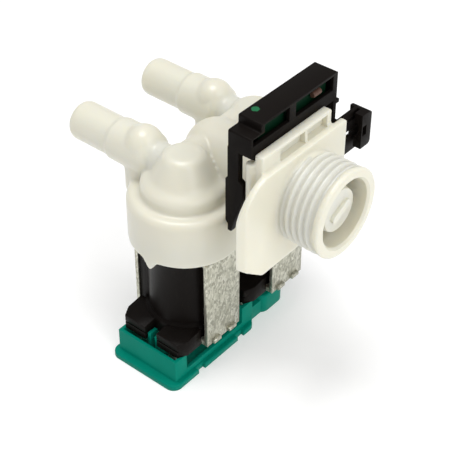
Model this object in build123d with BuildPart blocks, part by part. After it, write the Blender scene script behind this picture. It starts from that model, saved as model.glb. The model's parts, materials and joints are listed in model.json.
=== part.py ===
from build123d import *
import os

os.makedirs("parts", exist_ok=True)

# A washing machine inlet valve with two outlets, in millimetres. +X runs along the threaded inlet, +Y from
# the front valve to the rear one, and +Z up. The origin is midway between the valve axes, on the surface
# that the terminal base stands on.

# Layout
valve_pitch = 30.0
valves = (("front", -valve_pitch / 2), ("rear", valve_pitch / 2))
seat_gap = 0.1
slip_gap = 0.05

# Terminal base
base_flange_thick = 1.8
base_flange_reach = 1.6
base_half_width = 11.1
base_wall = 1.0
base_height = 9.4
base_low_height = 3.65
base_front_reach = 18.2
base_front_flange = 2.4
base_return = 4.9
base_corner = 3.0
base_block_corner = 1.2
base_flange_round = 0.5
socket_depth = 4.6
post_rib_width = 1.1
post_rib_spacing = 2.6
post_depth = 2.9
post_top = 11.8
link_start = 1.7
link_height = 5.0
link_end = 6.4
far_block_end = 17.7
far_block_height = 6.6
far_block_corner = 3.0
far_block_round = 0.6
far_hook_reach = 1.3
far_hook_width = 4.0
far_hook_top = 9.0
far_hook_bevel = 0.8
far_hook_root = 5.6
far_pocket = 5.6
far_pocket_depth = 4.8
flange_notch = 2.8
flange_notch_depth = 1.0

# Coils: magnetic yoke and closing plate
plate_thick = 1.5
yoke_thick = 1.2
yoke_inner = 12.6
yoke_half_width = 7.2
yoke_height = 31.0
yoke_bend = 1.8
tenon_width = 3.0
tenon_spacing = 6.8
tenon_proud = 0.9
tenon_bevel = 0.35

# Coils: casing
casing_radius = 11.2
casing_flange_radius = 12.3
casing_flange_thick = 4.4
casing_collar = 0.5
casing_top_flange = 1.5
casing_rib_inlet = 4.7
casing_rib_outlet = 6.8
casing_end_wall = 2.0
casing_top_wall = 1.4
wing_reach = 16.2
wing_half_width = 11.6
wing_gap = 2.2
wing_corner_width = 1.5
wing_corner_length = 3.0
wing_slope = 1.0
wing_groove = 0.4

# Coils: bobbin, winding, sleeves and terminals
bobbin_bore = 6.0
bobbin_wall = 1.0
bobbin_flange_radius = 9.8
bobbin_flange_thick = 1.2
winding_radius = 9.5
sleeve_wall = 0.9
lower_sleeve_length = 8.0
upper_sleeve_length = 8.0
blade_width = 2.8
blade_thick = 0.8
blade_spacing = 13.8
blade_length = 10.0
blade_tip = 1.5
blade_bevel = 0.25

# Guide tube and plunger
guide_radius = 4.9
guide_wall = 0.7
guide_floor = 1.0
guide_flange_radius = 14.6
guide_flange_thick = 3.7
guide_boss_radius = 7.0
guide_boss_height = 0.9
guide_foot_gap = 0.3
insert_recess_radius = 6.6
insert_recess_depth = 2.0
plunger_length = 24.3
plunger_pocket_radius = 2.9
plunger_pocket_depth = 1.5
plunger_rise = 1.2
plunger_bevel = 0.6
seal_radius = 1.8
seal_height = 1.9
spring_radius = 2.3
spring_wire = 0.3
spring_turns = 3

# Diaphragm
rim_inner = 10.8
rim_outer = 13.8
rim_thick = 1.8
membrane_thick = 0.7
membrane_rise = 0.5
pad_rise = 0.4
pad_radius = 6.2
pad_height = 2.6
stem_radius = 2.0
pilot_radius = 0.5
insert_disc_radius = 5.2
insert_disc_thick = 1.0
insert_stem_length = 4.3

# Valve body: skirts, domes and seats
skirt_radius = 16.3
skirt_wall = 1.5
skirt_clearance = 0.6
skirt_height = 15.0
skirt_shoulder = 2.0
dome_foot_radius = 12.4
dome_foot_height = 3.6
dome_neck_radius = 9.4
dome_neck_height = 5.6
dome_top_radius = 5.4
dome_height = 12.6
dome_rounds = (0.8, 2.4, 4.0, 2.3)
seat_bore = 4.0
seat_wall = 1.6
seat_headroom = 0.4
gallery_radius = 10.6
gallery_neck_radius = 10.0
gallery_top_radius = 7.6
gallery_roof = 1.2
tab_width = 5.0
tab_height = 3.6
tab_offset = 0.65
tab_round = 0.7
tab_inset = 0.3
tab_root = 1.0

# Valve body: outlets
outlet_height = 62.3
spigot_radius = 5.85
spigot_root_radius = 6.4
spigot_root_end = 24.0
spigot_end = 39.6
spigot_tip = 2.7
spigot_step = 0.6
spigot_step_round = 0.3
spigot_bore = 3.8
elbow_radius = 5.75
elbow_reach = 14.8
elbow_bottom = 45.5
elbow_taper = 4.5
elbow_crown = 64.5

# Valve body: flow chamber and inlet
chamber_height = 60.4
chamber_radius = 9.5
chamber_bore = 7.6
chamber_end = 10.3
chamber_end_round = 9.2
chamber_end_wall = 3.5
chamber_bore_round = 3.0
duct_radius = 5.8
duct_offset = 1.6
port_radius = 2.8
port_height = 54.6
inlet_radius = 13.2
inlet_bore = 10.0
inlet_length = 13.7
inlet_chamfer = 0.35

# Valve body: mounting plate and the wall behind it
plate_face = 29.9
mount_thick = 2.1
mount_top = 75.2
mount_bottom = 43.2
mount_front = -27.1
mount_rear = 17.85
mount_front_top = 17.2
mount_front_shoulder = 66.2
mount_front_hip = 50.3
mount_front_foot = 18.0
mount_rear_foot = 12.0
mount_rear_hip = 50.0
mount_end_bevel = 2.2
mount_shoulder_bulge = 1.5
mount_round = 0.8
wall_face = 25.1
wall_top = 79.9
wall_bottom = 51.0
wall_front = -16.2
wall_rear = 13.4
wall_corner = 0.8
pocket_front = -9.0
pocket_rear = 11.2
pocket_lintel = 0.8
pocket_depth = 1.6
pocket_rib = 2.0
pocket_rib_width = 1.0
column_radius = 1.5
column_inset = 0.4
column_rear = 0.3
column_top = 77.0
column_bottom = 62.0

# Inlet strainer
strainer_seat_radius = 9.8
strainer_seat_thick = 1.5
strainer_root_radius = 9.3
strainer_tip_radius = 6.3
strainer_length = 13.0
strainer_wall = 0.9
strainer_slots = 12
strainer_slot_width = 2.2
strainer_slot_margin = 1.3
grip_length = 8.0
grip_width = 2.6
grip_height = 1.0
grip_turn = 25.0
mesh_thick = 0.25
strainer_recess = 0.2

# Flow meter
washer_thick = 2.5
washer_bore = 2.4
washer_bevel = 1.0
cage_front = 24.0
cage_length = 11.0
cage_wall = 0.7
cage_web = 1.5
cage_arms = 3
cage_arm_width = 1.4
cage_hub = 2.2
shaft_radius = 0.75
rotor_front = 21.5
rotor_length = 6.0
rotor_hub = 3.0
rotor_radius = 6.5
rotor_blades = 6
rotor_blade_thick = 0.8
rotor_twist = 38.0
magnet_radius = 0.9
magnet_length = 2.2
magnet_circle = 1.95

# Flow sensor
sensor_back = 17.5
sensor_bottom = 79.0
sensor_height = 8.8
sensor_step_height = 6.2
sensor_front = -17.5
sensor_head_front = -13.4
sensor_rear = 19.1
sensor_shell = 1.1
sensor_corner = 0.5
sensor_overlap = 1.0
window_sill = 3.6
window_lintel = 0.8
window_front = -12.0
window_rear = 17.2
window_low_lintel = 0.5
window_low_front = -16.7
window_bar_rear = 0.9
window_bar_front = -1.75
window_bar_depth = 1.2
tongue_half_width = 9.0
tongue_depth = 9.0
tongue_inset = 0.8
leg_thick = 1.8
leg_back = 17.3
leg_width = 3.6
foot_back = 16.6
foot_right = 22.4
foot_top = 70.4
foot_hip = 64.6
foot_low = 54.6
foot_pin = 52.5
foot_bevel = 1.0
foot_step = 0.8
foot_pin_width = 1.2
rear_leg_thick = 1.3
rear_leg_bottom = 58.0
rear_leg_back = 20.0
rear_leg_return = 5.0
arm_back = 24.0
arm_thick = 2.5
arm_reach = 28.0
arm_levels = ((59.0, 64.4), (66.6, 69.6), (70.6, 72.3))
clip_back = 27.4
clip_face = 30.0
clip_front = 25.1
clip_rear = 29.6
clip_web = 2.0
clip_round = 1.2
clip_bottom = 61.2
clip_top = 72.3
clip_slot_width = 1.8
clip_slot_height = 3.2
clip_slot_offset = 1.4
clip_slot_height_centre = 66.8
nub_reach = 1.3
nub_width = 1.3
nub_height = 1.1
nub_drop = 1.6
board_thick = 1.0
board_setback = 2.2
board_front = -12.0
board_rear = 16.8
board_sill = 1.4
board_height = 6.0
reed_radius = 1.1
reed_length = 11.0
reed_drop = 5.0
reed_back = 2.2
reed_round = 0.6
lead_radius = 0.25
lead_reach = 1.2
lead_round = 0.6
lead_board_rise = 0.8
resistor_radius = 0.9
resistor_length = 3.4
resistor_place = 11.2
resistor_rise = 4.0
resistor_round = 0.3

# Heights up the coil stack
plate_top = base_height + plate_thick
casing_bottom = plate_top
casing_top = base_height + yoke_height - yoke_thick
yoke_top = base_height + yoke_height
yoke_bend_inside = yoke_inner - (yoke_bend - yoke_thick)
casing_flange_top = casing_bottom + casing_flange_thick
cavity_floor = casing_bottom + casing_end_wall
cavity_roof = casing_top - casing_top_wall
cavity_radius = bobbin_flange_radius + seat_gap
sleeve_radius = bobbin_bore - slip_gap
sleeve_bore = sleeve_radius - sleeve_wall

# Heights up the valve
skirt_bottom = yoke_top + skirt_clearance
skirt_top = skirt_bottom + skirt_height
guide_bottom = casing_bottom + guide_foot_gap
guide_flange_bottom = yoke_top + guide_boss_height
guide_flange_top = guide_flange_bottom + guide_flange_thick
ledge = guide_flange_top + rim_thick + 2 * seat_gap
rim_bottom = guide_flange_top + seat_gap
membrane_bottom = rim_bottom + membrane_rise
pad_bottom = membrane_bottom + pad_rise
pad_top = pad_bottom + pad_height
seat_lip = pad_top + seat_gap
insert_top = pad_bottom - seat_gap
insert_bottom = insert_top - insert_disc_thick
plunger_bore = guide_radius - guide_wall
plunger_radius = plunger_bore - seat_gap
plunger_top = insert_bottom - plunger_rise
plunger_bottom = plunger_top - plunger_length
guide_floor_top = guide_bottom + guide_floor
wall_radius = skirt_radius - skirt_wall
dome_top = skirt_top + dome_height
gallery_top = skirt_top + gallery_roof

# Planes that several pieces share
inlet_mouth = plate_face + inlet_length
mount_back = plate_face - mount_thick
strainer_back = mount_back + strainer_recess
sensor_top = sensor_bottom + sensor_height
sensor_step = sensor_bottom + sensor_step_height
window_bottom = sensor_bottom + window_sill
window_low_top = sensor_step - window_low_lintel
tongue_bottom = sensor_bottom - tongue_depth
chamber_axis = Axis((0, 0, chamber_height), (1, 0, 0))


def valve_axis(y):
    """The upright axis of the valve that stands at y."""
    return Axis((0, y, 0), (0, 0, 1))


def valve_section(y):
    """The upright plane through a valve axis. Its first coordinate is X and its second is Z."""
    return Plane.XZ.offset(-y)


# The green base that the coils plug into. Each coil has a socket that opens downwards, behind a tall front
# wall, and a post that stands between its two terminal wings. The base ends behind the rear coil in a block.
with BuildPart() as terminal_base:
    front_edge = valves[0][1] - base_front_reach
    rear_wall_edge = valves[1][1] - base_front_reach
    flange_front = front_edge - base_front_flange
    with BuildSketch():
        with Locations((0, (flange_front + link_start) / 2)):
            RectangleRounded(
                2 * (base_half_width + base_flange_reach),
                link_start - flange_front,
                base_corner,
            )
    extrude(amount=base_flange_thick)
    for flange_y in (front_edge + base_return * 2, rear_wall_edge - flange_notch / 2 - base_wall):
        with BuildSketch():
            for turn in (-1, 1):
                with Locations((turn * (base_half_width + base_flange_reach), flange_y)):
                    Rectangle(2 * flange_notch_depth, flange_notch)
        extrude(amount=base_flange_thick, mode=Mode.SUBTRACT)
    fillet(terminal_base.edges().group_by(Axis.Z)[-1], radius=base_flange_round)
    with BuildSketch():
        with Locations((0, (front_edge + link_start) / 2)):
            RectangleRounded(2 * base_half_width, link_start - front_edge, base_block_corner)
    extrude(amount=base_low_height)
    for name, y in valves:
        wall_front_y = y - base_front_reach
        with BuildSketch():
            with Locations((0, wall_front_y + base_return / 2)):
                Rectangle(2 * base_half_width, base_return)
        extrude(amount=base_height)
        with BuildSketch():
            with Locations((0, wall_front_y + base_wall + socket_depth / 2)):
                Rectangle(2 * (base_half_width - base_wall), socket_depth)
        extrude(amount=base_height, mode=Mode.SUBTRACT)
    tray_front = front_edge + 2 * base_wall + socket_depth
    tray_rear = rear_wall_edge - base_wall
    with BuildSketch(Plane.XY.offset(base_flange_thick)):
        with Locations((0, (tray_front + tray_rear) / 2)):
            Rectangle(2 * (base_half_width - base_wall), tray_rear - tray_front)
    extrude(amount=base_height, mode=Mode.SUBTRACT)
    for name, y in valves:
        post_front = y - base_front_reach + base_wall + socket_depth - post_depth
        with BuildSketch():
            with Locations((0, post_front + post_depth / 2)):
                Rectangle(post_rib_spacing + post_rib_width, post_depth)
        extrude(amount=base_low_height)
        with BuildSketch():
            with Locations((0, post_front + post_depth / 2)):
                with GridLocations(post_rib_spacing, 0, 2, 1):
                    Rectangle(post_rib_width, post_depth)
        extrude(amount=post_top)
    with BuildSketch():
        with Locations((0, (link_start + link_end) / 2)):
            Rectangle(2 * (base_half_width - base_wall), link_end - link_start + 2 * base_wall)
    extrude(amount=link_height)
    with BuildSketch():
        with Locations((0, (link_end + far_block_end) / 2)):
            RectangleRounded(2 * base_half_width, far_block_end - link_end, far_block_corner)
    extrude(amount=far_block_height)
    fillet(terminal_base.faces().filter_by(Plane.XY).filter_by(
        lambda face: abs(face.center().Z - far_block_height) < 0.01
    ).edges(), radius=far_block_round)
    with BuildSketch():
        with Locations((0, (link_end + far_block_end) / 2)):
            with GridLocations(far_pocket + 2 * base_wall, 0, 3, 1):
                Rectangle(far_pocket, far_block_end - link_end - 4 * base_wall)
    extrude(amount=far_pocket_depth, mode=Mode.SUBTRACT)
    with BuildSketch(Plane.YZ):
        with BuildLine():
            Polyline(
                (far_block_end - 2 * base_wall, 0),
                (far_block_end + far_hook_reach, 0),
                (far_block_end + far_hook_reach, far_hook_top - far_hook_bevel),
                (far_block_end + far_hook_reach / 2, far_hook_top),
                (far_block_end - base_wall, far_hook_top),
                (far_block_end - base_wall, far_hook_root),
                (far_block_end - 2 * base_wall, far_hook_root),
                close=True,
            )
        make_face()
    extrude(amount=far_hook_width / 2, both=True)
terminal_base.part.label = "terminal_base"
export_step(terminal_base.part, "parts/terminal_base.step")


# The coil casings: black overmoulded drums with two terminal wings each, a rib towards the inlet and a
# wider one towards the outlet, and end flanges that fill the yoke.
for side, y in valves:
    with BuildPart() as coil_casing:
        wing_front = y - wing_reach
        wing_back = y - yoke_half_width - 2 * seat_gap
        with BuildSketch(Plane.XY.offset(base_height)):
            for turn in (-1, 1):
                with BuildLine():
                    Polyline(
                        (turn * wing_gap, wing_back),
                        (turn * wing_gap, wing_front),
                        (turn * (wing_half_width - wing_corner_width), wing_front),
                        (turn * wing_half_width, wing_front + wing_corner_length),
                        (turn * wing_half_width, wing_back),
                        close=True,
                    )
                make_face()
        extrude(amount=casing_flange_top - base_height)
        with BuildSketch(Plane.YZ):
            with BuildLine():
                Polyline(
                    (wing_front, casing_flange_top - wing_slope),
                    (wing_back, casing_flange_top),
                    (wing_front, casing_flange_top),
                    close=True,
                )
            make_face()
        extrude(amount=wing_half_width, both=True, mode=Mode.SUBTRACT)
        with BuildSketch(Plane.XZ.offset(-wing_front - wing_groove)):
            with Locations((0, (base_height + casing_flange_top - wing_slope) / 2)):
                Rectangle(2 * wing_half_width, wing_groove)
        extrude(amount=wing_groove, mode=Mode.SUBTRACT)
        with BuildSketch(valve_section(y)):
            with BuildLine():
                Polyline(
                    (0, casing_bottom),
                    (casing_flange_radius, casing_bottom),
                    (casing_flange_radius, casing_flange_top),
                    (casing_radius, casing_flange_top + casing_collar),
                    (casing_radius, casing_top - casing_top_flange),
                    (yoke_bend_inside, casing_top - casing_top_flange),
                    (yoke_bend_inside, casing_top),
                    (0, casing_top),
                    close=True,
                )
            make_face()
        revolve(axis=valve_axis(y))
        rib_reach = yoke_inner - seat_gap
        with BuildSketch(Plane.XY.offset(casing_bottom)):
            with Locations((rib_reach / 2, y)):
                Rectangle(rib_reach, 2 * casing_rib_inlet)
            with Locations((-rib_reach / 2, y)):
                Rectangle(rib_reach, 2 * casing_rib_outlet)
        extrude(amount=casing_top - casing_top_flange - casing_bottom)
        with BuildSketch(Plane.XY.offset(cavity_floor)):
            with Locations((0, y)):
                Circle(cavity_radius)
        extrude(amount=cavity_roof - cavity_floor, mode=Mode.SUBTRACT)
        with BuildSketch(Plane.XY.offset(casing_bottom)):
            with Locations((0, y)):
                Circle(bobbin_bore)
        extrude(amount=casing_top - casing_bottom, mode=Mode.SUBTRACT)
        blade_y = y - base_front_reach + base_wall + socket_depth / 2
        with BuildSketch(Plane.XY.offset(base_height)):
            with Locations((0, blade_y)):
                with GridLocations(blade_spacing, 0, 2, 1):
                    Rectangle(blade_width + 2 * slip_gap, blade_thick + 2 * slip_gap)
        extrude(amount=blade_length + blade_tip - base_height + slip_gap, mode=Mode.SUBTRACT)
    coil_casing.part.label = f"coil_casing_{side}"
    export_step(coil_casing.part, f"parts/coil_casing_{side}.step")


# The bobbins, one in each casing.
for side, y in valves:
    with BuildPart() as bobbin:
        with BuildSketch(valve_section(y)):
            with BuildLine():
                Polyline(
                    (bobbin_bore, cavity_floor),
                    (bobbin_flange_radius, cavity_floor),
                    (bobbin_flange_radius, cavity_floor + bobbin_flange_thick),
                    (bobbin_bore + bobbin_wall, cavity_floor + bobbin_flange_thick),
                    (bobbin_bore + bobbin_wall, cavity_roof - bobbin_flange_thick),
                    (bobbin_flange_radius, cavity_roof - bobbin_flange_thick),
                    (bobbin_flange_radius, cavity_roof),
                    (bobbin_bore, cavity_roof),
                    close=True,
                )
            make_face()
        revolve(axis=valve_axis(y))
    bobbin.part.label = f"bobbin_{side}"
    export_step(bobbin.part, f"parts/bobbin_{side}.step")


# The copper windings, each a closed drum of wire between the flanges of its bobbin.
for side, y in valves:
    with BuildPart() as winding:
        winding_bottom = cavity_floor + bobbin_flange_thick + slip_gap
        with BuildSketch(Plane.XY.offset(winding_bottom)):
            with Locations((0, y)):
                Circle(winding_radius)
                Circle(bobbin_bore + bobbin_wall + slip_gap, mode=Mode.SUBTRACT)
        extrude(amount=cavity_roof - bobbin_flange_thick - slip_gap - winding_bottom)
    winding.part.label = f"winding_{side}"
    export_step(winding.part, f"parts/winding_{side}.step")


# The terminals, two flat blades to a coil, which hang from its wings into the socket of the base.
for side, y in valves:
    with BuildPart() as coil_terminals:
        blade_y = y - base_front_reach + base_wall + socket_depth / 2
        with BuildSketch(Plane.XY.offset(blade_tip)):
            with Locations((0, blade_y)):
                with GridLocations(blade_spacing, 0, 2, 1):
                    Rectangle(blade_width, blade_thick)
        extrude(amount=blade_length)
        tips = coil_terminals.faces().group_by(Axis.Z)[0].edges().filter_by(Axis.X)
        chamfer(tips, length=blade_bevel)
    coil_terminals.part.label = f"coil_terminals_{side}"
    export_step(coil_terminals.part, f"parts/coil_terminals_{side}.step")


# The yokes: one steel strip each, folded into an upside-down U over the coil. The guide tube passes through
# the hole in its top, and the feet are notched for the tenons of the closing plate.
for side, y in valves:
    with BuildPart() as yoke:
        with BuildSketch(valve_section(y).offset(-yoke_half_width)):
            with BuildLine():
                FilletPolyline(
                    (yoke_inner + yoke_thick, base_height),
                    (yoke_inner + yoke_thick, yoke_top),
                    (-yoke_inner - yoke_thick, yoke_top),
                    (-yoke_inner - yoke_thick, base_height),
                    radius=yoke_bend,
                )
                Line((-yoke_inner - yoke_thick, base_height), (-yoke_inner, base_height))
                FilletPolyline(
                    (-yoke_inner, base_height),
                    (-yoke_inner, casing_top),
                    (yoke_inner, casing_top),
                    (yoke_inner, base_height),
                    radius=yoke_bend - yoke_thick,
                )
                Line((yoke_inner, base_height), (yoke_inner + yoke_thick, base_height))
            make_face()
        extrude(amount=2 * yoke_half_width)
        with BuildSketch(Plane.XY.offset(casing_top)):
            with Locations((0, y)):
                Circle(guide_radius + 2 * seat_gap)
        extrude(amount=yoke_thick, mode=Mode.SUBTRACT)
        with BuildSketch(Plane.YZ.offset(-yoke_inner - yoke_thick)):
            with Locations((y, base_height + plate_thick / 2)):
                with GridLocations(tenon_spacing, 0, 2, 1):
                    Rectangle(tenon_width + 2 * slip_gap, plate_thick)
        extrude(amount=2 * (yoke_inner + yoke_thick), mode=Mode.SUBTRACT)
    yoke.part.label = f"yoke_{side}"
    export_step(yoke.part, f"parts/yoke_{side}.step")


# The closing plates of the yokes. Their tenons pass through the notched feet and are staked over outside.
for side, y in valves:
    with BuildPart() as yoke_plate:
        with BuildSketch(Plane.XY.offset(base_height)):
            with Locations((0, y)):
                Rectangle(2 * (yoke_inner - slip_gap), 2 * yoke_half_width)
                with GridLocations(0, tenon_spacing, 1, 2):
                    Rectangle(2 * (yoke_inner + yoke_thick + tenon_proud), tenon_width)
        extrude(amount=plate_thick)
        tenon_ends = yoke_plate.edges().filter_by(Axis.Y)
        chamfer(tenon_ends.group_by(Axis.X)[0] + tenon_ends.group_by(Axis.X)[-1], length=tenon_bevel)
    yoke_plate.part.label = f"yoke_plate_{side}"
    export_step(yoke_plate.part, f"parts/yoke_plate_{side}.step")


# The iron sleeves that carry the field into the bore of the coil, one from below and one from above.
for side, y in valves:
    with BuildPart() as lower_sleeve:
        with BuildSketch(Plane.XY.offset(casing_bottom + slip_gap)):
            with Locations((0, y)):
                Circle(sleeve_radius)
                Circle(sleeve_bore, mode=Mode.SUBTRACT)
        extrude(amount=lower_sleeve_length)
    lower_sleeve.part.label = f"lower_sleeve_{side}"
    export_step(lower_sleeve.part, f"parts/lower_sleeve_{side}.step")

    with BuildPart() as upper_sleeve:
        with BuildSketch(Plane.XY.offset(casing_top - slip_gap)):
            with Locations((0, y)):
                Circle(sleeve_radius)
                Circle(sleeve_bore, mode=Mode.SUBTRACT)
        extrude(amount=-upper_sleeve_length)
    upper_sleeve.part.label = f"upper_sleeve_{side}"
    export_step(upper_sleeve.part, f"parts/upper_sleeve_{side}.step")


# The guide tubes: closed at the foot, with a broad flange that seals the valve chamber under the diaphragm.
for side, y in valves:
    with BuildPart() as guide_tube:
        with BuildSketch(valve_section(y)):
            with BuildLine():
                Polyline(
                    (0, guide_bottom),
                    (guide_radius, guide_bottom),
                    (guide_radius, yoke_top),
                    (guide_boss_radius, yoke_top),
                    (guide_boss_radius, guide_flange_bottom),
                    (guide_flange_radius, guide_flange_bottom),
                    (guide_flange_radius, guide_flange_top),
                    (insert_recess_radius, guide_flange_top),
                    (insert_recess_radius, guide_flange_top - insert_recess_depth),
                    (plunger_bore, guide_flange_top - insert_recess_depth),
                    (plunger_bore, guide_floor_top),
                    (0, guide_floor_top),
                    close=True,
                )
            make_face()
        revolve(axis=valve_axis(y))
    guide_tube.part.label = f"guide_tube_{side}"
    export_step(guide_tube.part, f"parts/guide_tube_{side}.step")


# The plungers: steel cores that the coil pulls down off the pilot hole, each with a spring pocket below and
# a rubber seal let into its top.
for side, y in valves:
    with BuildPart() as plunger:
        with BuildSketch(valve_section(y)):
            with BuildLine():
                Polyline(
                    (0, plunger_bottom + plunger_pocket_depth),
                    (plunger_pocket_radius, plunger_bottom + plunger_pocket_depth),
                    (plunger_pocket_radius, plunger_bottom),
                    (plunger_radius, plunger_bottom),
                    (plunger_radius, plunger_top - plunger_bevel),
                    (plunger_radius - plunger_bevel, plunger_top),
                    (seal_radius + slip_gap, plunger_top),
                    (seal_radius + slip_gap, insert_bottom - seat_gap - seal_height),
                    (0, insert_bottom - seat_gap - seal_height),
                    close=True,
                )
            make_face()
        revolve(axis=valve_axis(y))
    plunger.part.label = f"plunger_{side}"
    export_step(plunger.part, f"parts/plunger_{side}.step")

    with BuildPart() as plunger_seal:
        with BuildSketch(Plane.XY.offset(insert_bottom - seat_gap)):
            with Locations((0, y)):
                Circle(seal_radius)
        extrude(amount=-seal_height)
    plunger_seal.part.label = f"plunger_seal_{side}"
    export_step(plunger_seal.part, f"parts/plunger_seal_{side}.step")

    with BuildPart() as plunger_spring:
        spring_low = guide_floor_top + spring_wire + slip_gap
        spring_high = plunger_bottom + plunger_pocket_depth - spring_wire - slip_gap
        with BuildLine() as spring_path:
            Helix(
                pitch=(spring_high - spring_low) / spring_turns,
                height=spring_high - spring_low,
                radius=spring_radius,
                center=(0, y, spring_low),
            )
        with BuildSketch(Plane(origin=spring_path.line @ 0, z_dir=spring_path.line % 0)):
            Circle(spring_wire)
        sweep(is_frenet=True)
    plunger_spring.part.label = f"plunger_spring_{side}"
    export_step(plunger_spring.part, f"parts/plunger_spring_{side}.step")


# The diaphragms: a clamped rim, a thin membrane, and a thick pad that closes the seat from below.
for side, y in valves:
    with BuildPart() as diaphragm:
        with BuildSketch(valve_section(y)):
            with BuildLine():
                Polyline(
                    (stem_radius + slip_gap, pad_bottom),
                    (pad_radius, pad_bottom),
                    (pad_radius, membrane_bottom),
                    (rim_inner, membrane_bottom),
                    (rim_inner, rim_bottom),
                    (rim_outer, rim_bottom),
                    (rim_outer, rim_bottom + rim_thick),
                    (rim_inner, rim_bottom + rim_thick),
                    (rim_inner, membrane_bottom + membrane_thick),
                    (pad_radius, membrane_bottom + membrane_thick),
                    (pad_radius, pad_top),
                    (stem_radius + slip_gap, pad_top),
                    close=True,
                )
            make_face()
        revolve(axis=valve_axis(y))
    diaphragm.part.label = f"diaphragm_{side}"
    export_step(diaphragm.part, f"parts/diaphragm_{side}.step")

    with BuildPart() as diaphragm_insert:
        with BuildSketch(Plane.XY.offset(insert_bottom)):
            with Locations((0, y)):
                Circle(insert_disc_radius)
        extrude(amount=insert_disc_thick)
        with BuildSketch(Plane.XY.offset(insert_bottom)):
            with Locations((0, y)):
                Circle(stem_radius)
        extrude(amount=insert_stem_length)
        with BuildSketch(Plane.XY.offset(insert_bottom)):
            with Locations((0, y)):
                Circle(pilot_radius)
        extrude(amount=insert_stem_length, mode=Mode.SUBTRACT)
    diaphragm_insert.part.label = f"diaphragm_insert_{side}"
    export_step(diaphragm_insert.part, f"parts/diaphragm_insert_{side}.step")


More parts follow.
